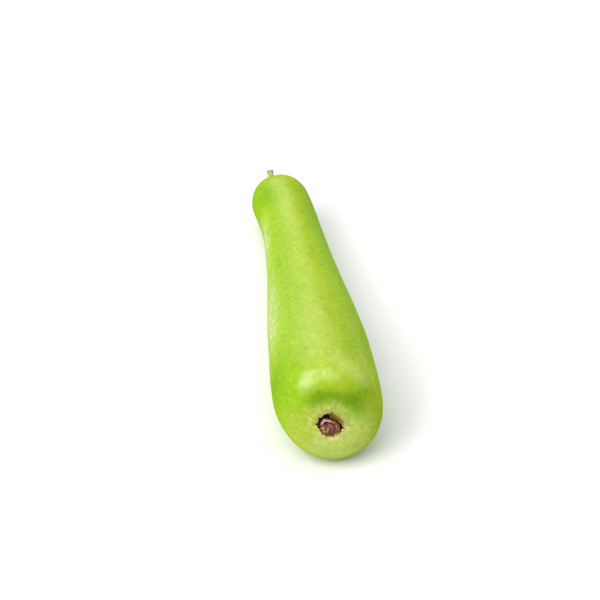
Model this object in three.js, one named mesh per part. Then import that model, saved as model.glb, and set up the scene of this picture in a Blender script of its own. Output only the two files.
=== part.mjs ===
// A bottle gourd lying on its side: the fruit, its cut stem and the dried remains of its flower.
// Millimetres, +Z up. The fruit lies along Y, with its blossom end towards -Y and its stem
// towards +Y. The origin is on the surface that it rests on, under the middle of its box.

import * as THREE from 'three';

// Fruit: the round form, from the blossom end at station 0 to the stem end
const FRUIT_LENGTH = 380;
const BULB_RADIUS = 42;
const NECK_RADIUS = 27.1;
const TAPER_START = 0.11; // shares of the length between which the bulb narrows to the neck
const TAPER_END = 0.79;
const SHOULDER_SWELL = 0.6; // the neck widens a little again before the stem
const SHOULDER_AT = 0.93;
const SHOULDER_SPREAD = 0.05;
const BLOSSOM_CAP = { depth: 38.4, squareness: 3.26 };
const STEM_CAP = { depth: 31.3, squareness: 2.46 };

// Fruit: its bend to one side, and how it sags onto the surface
const BEND = -4.5;
const NECK_HOOK = -7.3;
const HOOK_START = 0.7;
const BULB_REST = { at: 0.2, pressed: 1.2 };
const NECK_REST = { at: 0.92, pressed: 0.8 };
const FLAT_ROUNDING = 0.4; // how softly the pressed spots run out

// Blossom end: not quite round, a little off the axis and turned to one side
const BLOSSOM_REACH = 60; // how far from the end this fades out
const OVAL = { across: -0.0246, slanted: -0.0269 };
const THREE_LOBES = { across: 0.0096, slanted: 0.0128 };
const BLOSSOM_OFFSET = { x: -1.8, z: -0.6 };
const BLOSSOM_TURN = { x: -6.5, z: 4.8 };

// Pit that the flower's remains sit in
const PIT_DEPTH = 3.0;
const PIT_FLOOR_RADIUS = 8.3;
const PIT_MOUTH_RADIUS = 9.3;
const DISH_DEPTH = 0.9; // wide shallow dish round the pit
const DISH_SPREAD = 12;

// Stem end: a dimple with furrows that run out over the shoulder between the stem's ribs
const RIB_COUNT = 5;
const RIB_TURN = 0.5;
const DIMPLE_DEPTH = 4.2;
const DIMPLE_SPREAD = 7;
const FURROW_DEPTH = 2.3;
const FURROW_START = 7;
const FURROW_FULL = 11;
const FURROW_REACH = 25;
const SOCKET_DEPTH = 1.8;
const SOCKET_FLOOR_RADIUS = 6.6;
const SOCKET_MOUTH_RADIUS = 8.4;

// Stem: a short ribbed stub that leaves along the neck and turns up to its cut end
const STEM_FOOT_RADIUS = 5.8;
const STEM_TIP_RADIUS = 3.1;
const STEM_FLARE_LENGTH = 5.5; // the foot's flare shrinks by two thirds over this length
const STEM_RIB_HEIGHT = 0.075; // share of the radius
const STEM_TIP = { x: -2.7, y: 19.2, z: 11.7 }; // from the end of the fruit's axis
const STEM_REACH = { foot: 11, tip: 10 }; // pull of its two directions on its curve
const STEM_TIP_PITCH = 57; // degrees above level
const CUT_DISH = { depth: 0.5, share: 0.7 }; // hollow in the cut end, inside this share of it

// Flower's remains: a corky button with a ragged lip round a dome
const BUTTON_RADIUS = 7.2;
const BUTTON_SHIFT = { x: -0.3, z: -0.3 }; // it sits a little to one side in the pit
const BUTTON_RAG = [{ lobes: 3, height: 0.16, turn: 0.4 }, { lobes: 8, height: 0.12, turn: 1.9 }];
const LIP_HEIGHT = 3.0;
const LIP_AT = 0.86; // shares of the button's radius
const LIP_WIDTH = 0.13;
const DOME_HEIGHT = 3.1;
const DOME_WIDTH = 0.6;
const BUTTON_BASE = 1.1;
const UNDERSIDE_SHARE = 0.9; // of the radius
const DOME_KNOBS = { count: 5, height: 0.35, at: 0.4 };

const GAP = 0.3; // between pieces that touch

// Mesh fineness
const FRUIT_RINGS = 78;
const FRUIT_SIDES = 52;
const RING_CROWDING = 0.8; // draws the fruit's rings towards its two ends
const STEM_RINGS = 16;
const STEM_SIDES = 30;
const STEM_CROWDING = 1.2; // over 1 draws the stem's rings towards its foot
const BUTTON_RINGS = 9;
const BUTTON_SIDES = 40;
const PROFILE_STEPS = 4000;

const TURN = 2 * Math.PI;
const UP = new THREE.Vector3(0, 0, 1);

const ease = (share) => THREE.MathUtils.smoothstep(share, 0, 1);
const bell = (distance) => Math.exp(-distance * distance);

/** Share of the full radius at a distance from an end that is closed by a squarish round cap. */
function capShare(distance, cap) {
  const share = Math.min(Math.max(distance / cap.depth, 0), 1);
  return (1 - (1 - share) ** cap.squareness) ** (1 / cap.squareness);
}

/** Radius of the round form at a station along the fruit's axis. */
function radiusAt(station) {
  const t = station / FRUIT_LENGTH;
  const narrowing = ease((t - TAPER_START) / (TAPER_END - TAPER_START));
  const trunk = THREE.MathUtils.lerp(BULB_RADIUS, NECK_RADIUS, narrowing)
    + SHOULDER_SWELL * bell((t - SHOULDER_AT) / SHOULDER_SPREAD);
  return trunk * capShare(station, BLOSSOM_CAP) * capShare(FRUIT_LENGTH - station, STEM_CAP);
}

/** Middle of the fruit at a station: it bends sideways and rests on its bulb and its neck. */
function axisAt(station) {
  const t = station / FRUIT_LENGTH;
  const hook = Math.max(t - HOOK_START, 0) / (1 - HOOK_START);
  const bulbHeight = BULB_RADIUS - BULB_REST.pressed;
  const neckHeight = NECK_RADIUS + SHOULDER_SWELL - NECK_REST.pressed;
  const along = (t - BULB_REST.at) / (NECK_REST.at - BULB_REST.at);
  return new THREE.Vector3(
    BEND * t * t + NECK_HOOK * hook * hook,
    station,
    THREE.MathUtils.lerp(bulbHeight, neckHeight, along),
  );
}

/** Level direction square to the axis, which the angle round the fruit is counted from. */
function sideAt(station) {
  const step = 0.5;
  const ahead = axisAt(station + step).sub(axisAt(station - step));
  return new THREE.Vector3(ahead.y, -ahead.x, 0).normalize();
}

/** Heights below the surface are pressed flat on it, with a soft edge. */
function pressed(height) {
  if (height <= -FLAT_ROUNDING) return 0;
  if (height >= FLAT_ROUNDING) return height;
  return (height + FLAT_ROUNDING) ** 2 / (4 * FLAT_ROUNDING);
}

/** Point at a station, radius and angle in the fruit's own bent and lopsided space. */
function place(station, radius, angle) {
  const fade = bell(Math.max(station, 0) / BLOSSOM_REACH);
  const lopsided = 1 + fade * (
    OVAL.across * Math.cos(2 * angle) + OVAL.slanted * Math.sin(2 * angle)
    + THREE_LOBES.across * Math.cos(3 * angle) + THREE_LOBES.slanted * Math.sin(3 * angle)
  );
  const turn = (BLOSSOM_TURN.x * Math.cos(angle) + BLOSSOM_TURN.z * Math.sin(angle))
    * radius / BULB_RADIUS;
  const point = axisAt(station);
  point.addScaledVector(sideAt(station), radius * lopsided * Math.cos(angle));
  point.addScaledVector(UP, radius * lopsided * Math.sin(angle));
  point.x += fade * BLOSSOM_OFFSET.x;
  point.y += fade * turn;
  point.z = pressed(point.z + fade * BLOSSOM_OFFSET.z);
  return point;
}

/** How far the skin is sunk at a distance, along the skin, from the blossom end. */
function blossomSink(distance) {
  const wall = (PIT_MOUTH_RADIUS - distance) / (PIT_MOUTH_RADIUS - PIT_FLOOR_RADIUS);
  const past = Math.max(distance - PIT_FLOOR_RADIUS, 0);
  return PIT_DEPTH * ease(wall) + DISH_DEPTH * bell(past / DISH_SPREAD);
}

/** How far the skin is sunk at a distance, along the skin, from the stem end. */
function stemSink(distance, angle) {
  const wall = (SOCKET_MOUTH_RADIUS - distance) / (SOCKET_MOUTH_RADIUS - SOCKET_FLOOR_RADIUS);
  const between = 0.5 - 0.5 * Math.cos(RIB_COUNT * angle + RIB_TURN);
  const furrow = ease((distance - FURROW_START) / (FURROW_FULL - FURROW_START))
    * bell(distance / FURROW_REACH) * between * between * (0.75 + 0.25 * Math.cos(angle - 1));
  const past = Math.max(distance - SOCKET_FLOOR_RADIUS, 0);
  return SOCKET_DEPTH * ease(wall) + DIMPLE_DEPTH * bell(past / DIMPLE_SPREAD)
    + FURROW_DEPTH * furrow;
}

/** Half outline of the round form, as station and radius. Each end starts in small steps. */
class Profile extends THREE.Curve {
  constructor() {
    super();
    this.arcLengthDivisions = PROFILE_STEPS;
  }

  getPoint(t, target = new THREE.Vector2()) {
    const atBlossom = t < 0.5;
    const share = 2 * (atBlossom ? t : 1 - t);
    const cap = atBlossom ? BLOSSOM_CAP : STEM_CAP;
    const inwards = (FRUIT_LENGTH / 2) * share ** cap.squareness;
    const station = atBlossom ? inwards : FRUIT_LENGTH - inwards;
    return target.set(station, radiusAt(station));
  }
}

/** Closed mesh geometry: rings of points in order, closed by a point at each end. */
function skinOver(start, rings, end) {
  const sides = rings[0].length;
  const positions = [start, ...rings.flat(), end].flatMap((point) => point.toArray());
  const last = positions.length / 3 - 1;
  const index = (ring, side) => 1 + ring * sides + (side % sides);
  const faces = [];
  for (let side = 0; side < sides; side += 1) {
    faces.push(0, index(0, side), index(0, side + 1));
    for (let ring = 0; ring + 1 < rings.length; ring += 1) {
      const corners = [[ring, side], [ring + 1, side], [ring + 1, side + 1], [ring, side + 1]];
      const [a, b, c, d] = corners.map((corner) => index(...corner));
      faces.push(a, b, c, a, c, d);
    }
    faces.push(last, index(rings.length - 1, side + 1), index(rings.length - 1, side));
  }
  const geometry = new THREE.BufferGeometry();
  geometry.setAttribute('position', new THREE.Float32BufferAttribute(positions, 3));
  geometry.setIndex(faces);
  geometry.computeVertexNormals();
  return geometry;
}

/** Ring of points, one for each angle round a piece. */
function ringOf(sides, pointAt) {
  return Array.from({ length: sides }, (_, side) => pointAt((side / sides) * TURN));
}

/** The fruit, with the pit at its blossom end and the furrowed dimple at its stem. */
function fruitGeometry() {
  const profile = new Profile();
  const length = profile.getLength();
  const skinPoint = (share, angle) => {
    const spot = profile.getPointAt(share);
    const ahead = profile.getTangentAt(share);
    const sink = blossomSink(share * length) + stemSink((1 - share) * length, angle);
    return place(spot.x + sink * ahead.y, Math.max(spot.y - sink * ahead.x, 0), angle);
  };
  const rings = [];
  for (let ring = 1; ring < FRUIT_RINGS; ring += 1) {
    const even = ring / FRUIT_RINGS;
    const share = even - (RING_CROWDING * Math.sin(TURN * even)) / TURN;
    rings.push(ringOf(FRUIT_SIDES, (angle) => skinPoint(share, angle)));
  }
  return skinOver(skinPoint(0, 0), rings, skinPoint(1, 0));
}

/** The stem: a ribbed stub swept along its curve, flared at the foot and dished at the cut. */
function stemGeometry() {
  const base = axisAt(FRUIT_LENGTH);
  const side = sideAt(FRUIT_LENGTH);
  const outwards = new THREE.Vector3().crossVectors(UP, side);
  const sunk = SOCKET_DEPTH + DIMPLE_DEPTH - GAP;
  const foot = axisAt(FRUIT_LENGTH - sunk);
  const tip = base.clone().add(new THREE.Vector3(STEM_TIP.x, STEM_TIP.y, STEM_TIP.z));
  const pitch = THREE.MathUtils.degToRad(STEM_TIP_PITCH);
  const tipHeading = new THREE.Vector3(0, Math.cos(pitch), Math.sin(pitch));
  const curve = new THREE.CubicBezierCurve3(
    foot,
    foot.clone().addScaledVector(outwards, STEM_REACH.foot),
    tip.clone().addScaledVector(tipHeading, -STEM_REACH.tip),
    tip,
  );
  const length = curve.getLength();
  const ringAt = (share, scale) => {
    const heading = curve.getTangentAt(share);
    const rise = new THREE.Vector3().crossVectors(side, heading).normalize().negate();
    const flare = Math.exp(-((share * length) / STEM_FLARE_LENGTH));
    const radius = scale * THREE.MathUtils.lerp(STEM_TIP_RADIUS, STEM_FOOT_RADIUS, flare);
    return ringOf(STEM_SIDES, (angle) => {
      const ribbed = radius * (1 + STEM_RIB_HEIGHT * Math.cos(RIB_COUNT * angle + RIB_TURN));
      return curve.getPointAt(share)
        .addScaledVector(side, ribbed * Math.cos(angle))
        .addScaledVector(rise, -ribbed * Math.sin(angle));
    });
  };
  const rings = [];
  for (let ring = 0; ring <= STEM_RINGS; ring += 1) {
    rings.push(ringAt((ring / STEM_RINGS) ** STEM_CROWDING, 1));
  }
  rings.push(ringAt(1, CUT_DISH.share));
  const cut = tip.clone().addScaledVector(tipHeading, -CUT_DISH.depth);
  return skinOver(foot, rings, cut);
}

/** Height of the flower's remains above the pit's floor, at a share of their radius. */
function buttonHeight(share, angle) {
  const knobs = DOME_KNOBS.height * Math.cos(DOME_KNOBS.count * angle + RIB_TURN)
    * bell((share - DOME_KNOBS.at) / LIP_WIDTH);
  const dome = (DOME_HEIGHT - BUTTON_BASE) * bell(share / DOME_WIDTH) ** 2;
  const lip = (LIP_HEIGHT - BUTTON_BASE) * bell((share - LIP_AT) / LIP_WIDTH);
  return BUTTON_BASE + dome + lip + knobs;
}

/** The flower's remains, on the floor of the pit with a gap under them. */
function buttonGeometry() {
  const floor = PIT_DEPTH + DISH_DEPTH - GAP;
  const edgeAt = (angle) => BUTTON_RADIUS * (1 + BUTTON_RAG.reduce(
    (sum, rag) => sum + (rag.height * Math.cos(rag.lobes * angle + rag.turn)) / rag.lobes,
    0,
  ));
  const shift = new THREE.Vector3(BUTTON_SHIFT.x, 0, BUTTON_SHIFT.z);
  const spot = (height, share, angle) => (
    place(floor - height, share * edgeAt(angle), angle).add(shift)
  );
  const rings = [];
  for (let ring = 1; ring <= BUTTON_RINGS; ring += 1) {
    const share = ring / BUTTON_RINGS;
    rings.push(ringOf(BUTTON_SIDES, (angle) => spot(buttonHeight(share, angle), share, angle)));
  }
  rings.push(ringOf(BUTTON_SIDES, (angle) => spot(0, UNDERSIDE_SHARE, angle)));
  return skinOver(spot(buttonHeight(0, 0), 0, 0), rings, spot(0, 0, 0));
}

/** Named mesh with its own plain finish. */
function piece(name, geometry, color, roughness) {
  const material = new THREE.MeshStandardMaterial({ color, roughness, metalness: 0 });
  const mesh = new THREE.Mesh(geometry, material);
  mesh.name = name;
  return mesh;
}

const gourd = new THREE.Group();
gourd.add(piece('fruit', fruitGeometry(), 0xa2c93c, 0.38));
gourd.add(piece('stem', stemGeometry(), 0xa9ba6a, 0.7));
gourd.add(piece('blossom_scar', buttonGeometry(), 0x754529, 0.9));

const middle = new THREE.Box3().setFromObject(gourd).getCenter(new THREE.Vector3());
gourd.position.set(-middle.x, -middle.y, 0);

export default gourd;
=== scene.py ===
"""Bottle gourd on a pale floor: its fruit, its cut stem and the dried remains of its flower.

The fruit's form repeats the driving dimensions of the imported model, in metres, and adds the fine
relief of the skin, the stem and the cork. Each piece rides on the body that carries it.
"""

import logging
import math
from collections.abc import Callable
from dataclasses import dataclass
from enum import Enum
from typing import ClassVar, Union

import bpy
import numpy as np
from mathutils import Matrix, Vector


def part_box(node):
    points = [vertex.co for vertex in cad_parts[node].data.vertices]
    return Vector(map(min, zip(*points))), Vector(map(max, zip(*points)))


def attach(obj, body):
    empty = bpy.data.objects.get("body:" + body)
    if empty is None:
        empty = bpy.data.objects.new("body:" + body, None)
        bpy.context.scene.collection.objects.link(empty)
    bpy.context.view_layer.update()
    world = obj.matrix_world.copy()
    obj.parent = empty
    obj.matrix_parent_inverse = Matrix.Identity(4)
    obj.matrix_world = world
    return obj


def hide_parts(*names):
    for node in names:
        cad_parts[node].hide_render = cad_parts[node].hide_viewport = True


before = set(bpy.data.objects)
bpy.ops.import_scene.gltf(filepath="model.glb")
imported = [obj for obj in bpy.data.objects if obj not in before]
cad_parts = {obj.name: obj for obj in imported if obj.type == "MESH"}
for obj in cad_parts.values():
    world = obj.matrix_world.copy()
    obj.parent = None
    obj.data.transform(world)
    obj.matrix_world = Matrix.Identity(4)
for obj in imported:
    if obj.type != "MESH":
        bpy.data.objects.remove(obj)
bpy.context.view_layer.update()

MM = 0.001
TURN = 2 * math.pi
SEED = 4

Array = np.ndarray
Triple = tuple[float, float, float]
Color = Triple
Pair = tuple[float, float]
Range = tuple[float, float]
Plug = Union[float, Triple, "Wire"]

log = logging.getLogger("gourd")


class Body(Enum):
    """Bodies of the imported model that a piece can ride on."""

    ROOT = "root"


class Slot(Enum):
    """Material slots of the record."""

    SKIN = "skin"
    STEM = "stem"
    CORK = "cork"


class Blend(Enum):
    """Ways that a tone goes onto the colour below it."""

    COVER = "MIX"
    TINT = "MULTIPLY"


class Mark(Enum):
    """Values that a mesh carries at its points for its finish to read."""

    ALONG = "along"
    FROM_BLOSSOM = "from_blossom"
    FROM_RIM = "from_rim"
    SLOPE = "slope"
    SHEEN = "sheen"
    SIDEWAYS = "sideways"
    UPWARDS = "upwards"
    HOLLOW_SHADE = "hollow"
    CUT = "cut"
    RIB = "rib"
    HEIGHT = "height"
    LIP = "lip"
    GROOVE = "groove"
    BEADS = "beads"
    TEETH = "teeth"
    FRINGE = "fringe"


def ease(share: Array) -> Array:
    """Smooth step from 0 to 1 as a share goes from 0 to 1."""
    share = np.clip(share, 0.0, 1.0)
    return share * share * (3 - 2 * share)


def rise(value: Array, start: float, full: float) -> Array:
    """Smooth step from 0 at a start to 1 at another value, which may be the smaller one."""
    return ease((value - start) / (full - start))


def turns(count: int) -> Array:
    """Angles of evenly spaced places round a ring."""
    return np.arange(count) / count * TURN


def bell(distance: Array) -> Array:
    """Bell curve that is 1 at 0 and has nearly ended at 2."""
    return np.exp(-np.square(distance))


def off_by(angle: Array, middle: Array | float) -> Array:
    """How far angles are from a middle, the short way round."""
    return np.abs((angle - middle + math.pi) % TURN - math.pi)


@dataclass(frozen=True)
class Arc:
    """Stretch of angles on both sides of a middle, which ends softly."""

    middle: float
    half: float
    soft: float = 0.5

    def share(self, angle: Array) -> Array:
        """Shares that are 1 in the arc and ease to 0 past its ends."""
        return ease((self.half + self.soft - off_by(angle, self.middle)) / self.soft)


@dataclass(frozen=True)
class Ring:
    """Soft ring round a point, or soft stretch of a length."""

    at: float
    width: float
    waver: float = 0.0

    def share(self, distance: Array, uneven: Array | float = 0.0) -> Array:
        """Shares that are 1 at the ring's middle, which an unevenness moves."""
        return bell((distance - self.at - self.waver * uneven) / self.width)


class Ripple:
    """Smooth seeded unevenness in space, a sum of plane waves in random directions."""

    SPREAD: Range = (0.6, 1.6)

    def __init__(self, rng: np.random.Generator, length: float, waves: int = 14) -> None:
        """Draws the waves.

        Args:
            rng: Source of the random draws.
            length: Typical wavelength.
            waves: How many waves are added up.
        """
        heading = rng.normal(size=(waves, 3))
        heading /= np.linalg.norm(heading, axis=1, keepdims=True)
        lengths = length * rng.uniform(*self.SPREAD, size=(waves, 1))
        self.pushes = TURN * heading / lengths
        self.phases = rng.uniform(0, TURN, size=waves)

    def at(self, points: Array) -> Array:
        """Heights of the ripple at points, mostly between -1 and 1."""
        waves = np.cos(points @ self.pushes.T + self.phases)
        return waves.sum(axis=-1) / math.sqrt(len(self.phases))


@dataclass(frozen=True)
class Noise:
    """Cloudy noise: the size of its patches, its finer layers, and its stretch and turn."""

    size: float
    detail: float = 3.0
    rough: float = 0.5
    stretch: Triple = (1.0, 1.0, 1.0)
    turn: Triple = (0.0, 0.0, 0.0)


@dataclass(frozen=True)
class Cap:
    """Squarish round end of the fruit."""

    depth: float
    squareness: float

    def share(self, distance: Array) -> Array:
        """Share of the full radius at a distance from the end."""
        inside = np.clip(distance / self.depth, 0.0, 1.0)
        return (1 - (1 - inside) ** self.squareness) ** (1 / self.squareness)


@dataclass(frozen=True)
class Rest:
    """Place along the fruit where its weight presses it flat."""

    at: float
    pressed: float


@dataclass(frozen=True)
class GourdForm:
    """Form of the whole fruit, which the fine skin and both of its ends follow."""

    length: float = 380 * MM
    bulb_radius: float = 42 * MM
    neck_radius: float = 27.1 * MM
    taper: Range = (0.11, 0.79)
    shoulder_swell: float = 0.6 * MM
    shoulder: Ring = Ring(0.93, 0.05)
    blossom_cap: Cap = Cap(38.4 * MM, 3.26)
    stem_cap: Cap = Cap(31.3 * MM, 2.46)
    bend: float = -4.5 * MM
    neck_hook: float = -7.3 * MM
    hook_start: float = 0.7
    bulb_rest: Rest = Rest(0.2, 1.2 * MM)
    neck_rest: Rest = Rest(0.92, 0.8 * MM)
    flat_rounding: float = 0.4 * MM
    blossom_reach: float = 60 * MM
    box_steps: int = 800
    box_sides: int = 360
    oval: Pair = (-0.0246, -0.0269)
    three_lobes: Pair = (0.0096, 0.0128)
    blossom_offset: Pair = (-1.8 * MM, -0.6 * MM)
    blossom_turn: Pair = (-6.5 * MM, 4.8 * MM)

    def radius(self, station: Array) -> Array:
        """Radius of the round form at stations along the axis."""
        t = station / self.length
        trunk = self.bulb_radius + (self.neck_radius - self.bulb_radius) * rise(t, *self.taper)
        trunk = trunk + self.shoulder_swell * self.shoulder.share(t)
        return trunk * self.blossom_cap.share(station) * self.stem_cap.share(self.length - station)

    def axis(self, station: Array) -> Array:
        """Middle of the fruit at stations: it bends sideways and rests at two places."""
        t = station / self.length
        hook = np.maximum(t - self.hook_start, 0) / (1 - self.hook_start)
        low = self.bulb_radius - self.bulb_rest.pressed
        high = self.neck_radius + self.shoulder_swell - self.neck_rest.pressed
        share = (t - self.bulb_rest.at) / (self.neck_rest.at - self.bulb_rest.at)
        side = self.bend * t * t + self.neck_hook * hook * hook
        return np.stack([side, station, low + (high - low) * share], axis=-1)

    def side(self, station: Array) -> Array:
        """Level directions square to the axis, which angles are counted from."""
        step = 0.5 * MM
        ahead = self.axis(station + step) - self.axis(station - step)
        level = np.stack([ahead[..., 1], -ahead[..., 0], 0 * station], axis=-1)
        return level / np.linalg.norm(level, axis=-1, keepdims=True)

    def pressed(self, height: Array) -> Array:
        """Heights with those below the floor pressed flat on it, with a soft edge."""
        soft = np.square(height + self.flat_rounding) / (4 * self.flat_rounding)
        return np.where(
            height <= -self.flat_rounding, 0.0, np.where(height >= self.flat_rounding, height, soft)
        )

    def place(self, station: Array, radius: Array, angle: Array) -> Array:
        """Points in the fruit's own bent and lopsided space.

        Args:
            station: Distances along the axis from the blossom end.
            radius: Distances from the axis.
            angle: Angles round the axis, from its level side.

        Returns:
            Points with x, y and z on the last axis, in the fruit's own frame.
        """
        station, radius, angle = np.broadcast_arrays(station, radius, angle)
        fade = bell(np.maximum(station, 0) / self.blossom_reach)
        lopsided = 1 + fade * (
            self.oval[0] * np.cos(2 * angle) + self.oval[1] * np.sin(2 * angle)
            + self.three_lobes[0] * np.cos(3 * angle) + self.three_lobes[1] * np.sin(3 * angle)
        )
        turn_x, turn_z = self.blossom_turn
        turn = (turn_x * np.cos(angle) + turn_z * np.sin(angle)) * radius / self.bulb_radius
        reach = (radius * lopsided)[..., None]
        points = self.axis(station) + reach * np.cos(angle)[..., None] * self.side(station)
        points[..., 0] += fade * self.blossom_offset[0]
        points[..., 1] += fade * turn
        height = points[..., 2] + reach[..., 0] * np.sin(angle) + fade * self.blossom_offset[1]
        points[..., 2] = self.pressed(height)
        return points

    def shift(self) -> Array:
        """Step from the fruit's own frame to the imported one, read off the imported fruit's box."""
        stations = np.linspace(0, self.length, self.box_steps)
        angles = np.linspace(0, TURN, self.box_sides)
        station, angle = np.meshgrid(stations, angles, indexing="ij")
        own = self.place(station, self.radius(station), angle).reshape(-1, 3)
        low, high = (np.array(corner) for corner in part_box("fruit"))
        middle = (low[0] + high[0] - own[:, 0].min() - own[:, 0].max()) / 2
        return np.array([middle, low[1] - own[:, 1].min(), 0.0])


@dataclass(frozen=True)
class Pit:
    """Pit at the blossom end, with a ragged rim and a wide shallow dish round it."""

    depth: float = 3.0 * MM
    centre: Pair = (-1.1 * MM, -0.7 * MM)
    mouth_radius: float = 9.0 * MM
    wall_width: float = 0.8 * MM
    slope_width: float = 1.3 * MM
    slope: Arc = Arc(0.75, 0.45, 0.7)
    dish_depth: float = 0.9 * MM
    dish_spread: float = 12 * MM
    corner_count: int = 4
    corner_height: float = 0.3 * MM
    rim_rag: float = 0.25 * MM
    shallowest_rag: float = -1.0
    rag_waves: tuple[tuple[int, float], ...] = (
        (3, 0.9), (7, 2.7), (12, 2.1), (19, 4.0), (23, 5.3), (31, 1.2),
    )
    rim_swell: float = 0.35 * MM
    rim_width: float = 1.6 * MM

    def from_rim(self, distance: Array, angle: Array) -> Array:
        """How far outside the ragged rim points lie, less than 0 inside it.

        Args:
            distance: Distances, along the skin, from the blossom end.
            angle: Angles round it.

        Returns:
            Distances from the rim.
        """
        x = distance * np.cos(angle) - self.centre[0]
        z = distance * np.sin(angle) - self.centre[1]
        turn = np.arctan2(z, x)
        waves = sum(np.cos(count * turn + start) for count, start in self.rag_waves)
        rag = self.rim_rag * np.maximum(waves, self.shallowest_rag)
        rag = rag + self.corner_height * np.cos(self.corner_count * turn)
        return np.hypot(x, z) - self.mouth_radius - rag - self.slope_width * self.slope.share(turn)

    def sink(self, distance: Array, angle: Array) -> Array:
        """How far the skin is sunk at distances, along the skin, from the blossom end."""
        from_rim = self.from_rim(distance, angle)
        width = self.wall_width + self.slope_width * self.slope.share(angle)
        swell = self.rim_swell * bell((from_rim - self.rim_width) / self.rim_width)
        dish = self.dish_depth * bell(distance / self.dish_spread)
        return self.depth * ease(-from_rim / width) + dish - swell


@dataclass(frozen=True)
class Crease:
    """Thin crease that runs from the stem out over the shoulder."""

    angle: float
    start: float
    end: float
    depth: float
    drift: float = 0.15
    waver: float = 3.0
    width: float = 0.9 * MM
    narrowest: float = 2 * MM
    fades: Range = (0.25, 0.5)

    def sink(self, distance: Array, angle: Array) -> Array:
        """How far the crease sinks the skin."""
        along = (distance - self.start) / (self.end - self.start)
        middle = self.angle + self.drift * np.sin(self.waver * along)
        off = off_by(angle, middle) * (distance + self.narrowest)
        fade = ease(along / self.fades[0]) * ease((1 - along) / self.fades[1])
        return self.depth * fade * bell(off / self.width)


@dataclass(frozen=True)
class Dimple:
    """Dimple round the stem, with furrows between the stem's ribs and thin creases."""

    rib_count: int = 5
    rib_turn: float = 0.5
    depth: float = 4.2 * MM
    spread: float = 7 * MM
    furrow_depth: float = 2.3 * MM
    furrow_start: float = 7 * MM
    furrow_full: float = 11 * MM
    furrow_reach: float = 25 * MM
    furrow_unevenness: float = 0.25
    deepest_furrow: float = 1.0
    socket_depth: float = 1.8 * MM
    socket_floor: float = 6.6 * MM
    socket_mouth: float = 8.4 * MM
    creases: tuple[Crease, ...] = (
        Crease(0.35, 8 * MM, 30 * MM, 0.5 * MM),
        Crease(1.75, 8 * MM, 24 * MM, 0.4 * MM),
        Crease(2.6, 8 * MM, 34 * MM, 0.5 * MM, -0.2),
        Crease(4.1, 8 * MM, 27 * MM, 0.45 * MM),
        Crease(5.4, 8 * MM, 38 * MM, 0.55 * MM, 0.25),
    )

    def furrows(self, distance: Array, angle: Array) -> Array:
        """Share of the full furrow at distances, along the skin, from the stem end."""
        between = 0.5 - 0.5 * np.cos(self.rib_count * angle + self.rib_turn)
        start = rise(distance, self.furrow_start, self.furrow_full)
        uneven = 1 - self.furrow_unevenness * (1 - np.cos(angle - self.deepest_furrow))
        return start * bell(distance / self.furrow_reach) * np.square(between) * uneven

    def sink(self, distance: Array, angle: Array) -> Array:
        """How far the skin is sunk at distances, along the skin, from the stem end."""
        wall = rise(distance, self.socket_mouth, self.socket_floor)
        past = np.maximum(distance - self.socket_floor, 0)
        sunk = self.socket_depth * wall + self.depth * bell(past / self.spread)
        sunk = sunk + self.furrow_depth * self.furrows(distance, angle)
        return sunk + sum(crease.sink(distance, angle) for crease in self.creases)


class Wire:
    """A number's socket in a shader, which Python's arithmetic adds Math nodes to."""

    def __init__(self, recipe: "Recipe", socket: bpy.types.NodeSocket) -> None:
        """Wraps a socket of a recipe's node tree."""
        self.recipe = recipe
        self.socket = socket

    def math(self, operation: str, *values: Plug) -> "Wire":
        """Math node of an operation on values, in their order."""
        return self.recipe.node("ShaderNodeMath", {"operation": operation}, dict(enumerate(values)))

    def __add__(self, other: Plug) -> "Wire":
        """Sum."""
        return self.math("ADD", self, other)

    __radd__ = __add__

    def __sub__(self, other: Plug) -> "Wire":
        """Difference."""
        return self.math("SUBTRACT", self, other)

    def __rsub__(self, other: Plug) -> "Wire":
        """Difference from a number."""
        return self.math("SUBTRACT", other, self)

    def __mul__(self, other: Plug) -> "Wire":
        """Product."""
        return self.math("MULTIPLY", self, other)

    __rmul__ = __mul__

    def __truediv__(self, other: Plug) -> "Wire":
        """Quotient."""
        return self.math("DIVIDE", self, other)

    def __rtruediv__(self, other: Plug) -> "Wire":
        """Quotient of a number."""
        return self.math("DIVIDE", other, self)

    def __pow__(self, other: Plug) -> "Wire":
        """Power."""
        return self.math("POWER", self, other)

    def __rpow__(self, other: Plug) -> "Wire":
        """Power of a number."""
        return self.math("POWER", other, self)

    def __neg__(self) -> "Wire":
        """The value with its sign turned."""
        return self * -1.0

    def over(self, low: float, high: float) -> "Wire":
        """Smooth step from 0 at low to 1 at high. High may be the smaller one."""
        sockets = {"Value": self, "From Min": low, "From Max": high}
        return self.recipe.node("ShaderNodeMapRange", {"interpolation_type": "SMOOTHSTEP"}, sockets)


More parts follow.
